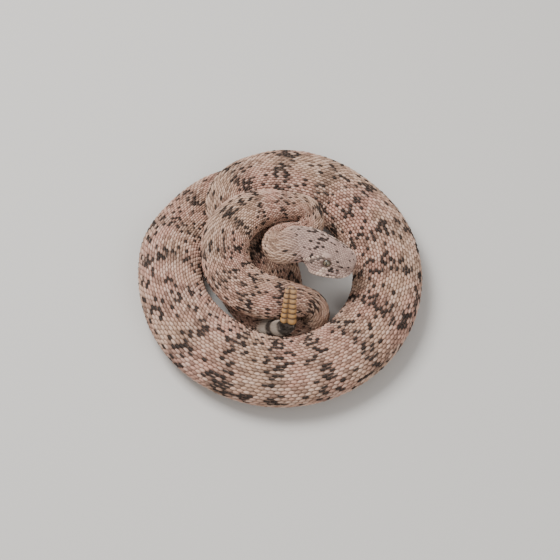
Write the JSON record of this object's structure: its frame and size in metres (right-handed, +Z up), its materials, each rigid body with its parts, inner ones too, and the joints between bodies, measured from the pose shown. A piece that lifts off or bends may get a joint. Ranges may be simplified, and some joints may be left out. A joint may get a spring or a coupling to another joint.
{
  "type": "southwestern speckled rattlesnake model",
  "caption": "Still life-size model of a southwestern speckled rattlesnake resting in a coil, head raised over its own neck and rattle standing up inside the coil.",
  "frame": {"origin": "centre of the coil's outer box, on the ground under the belly", "axes": "+Z up; the snout points along +X and the far side of the coil, seen from the camera, is +Y"},
  "size_m": [0.171, 0.1691, 0.0546],
  "materials": {
    "skin": "matte keeled scales, pinkish tan with dark specks",
    "eye": "glossy olive brown with an upright slit pupil",
    "rattle": "satin straw-coloured horn"
  },
  "bodies": {
    "root": {"head": "skin", "eye_left": "eye", "eye_right": "eye", "neck": "skin", "neck_bend": "skin", "fore_body_far": "skin", "fore_body_left": "skin", "fore_body_near": "skin", "fold": "skin", "body_under_coil": "skin", "crossing_bend": "skin", "ring_far": "skin", "ring_far_right": "skin", "ring_right": "skin", "ring_near_right": "skin", "ring_near_left": "skin", "ring_left": "skin", "ring_far_left": "skin", "hind_body_turn": "skin", "hind_body_inner": "skin", "tail": "skin", "rattle": "rattle"}
  },
  "joints": []
}
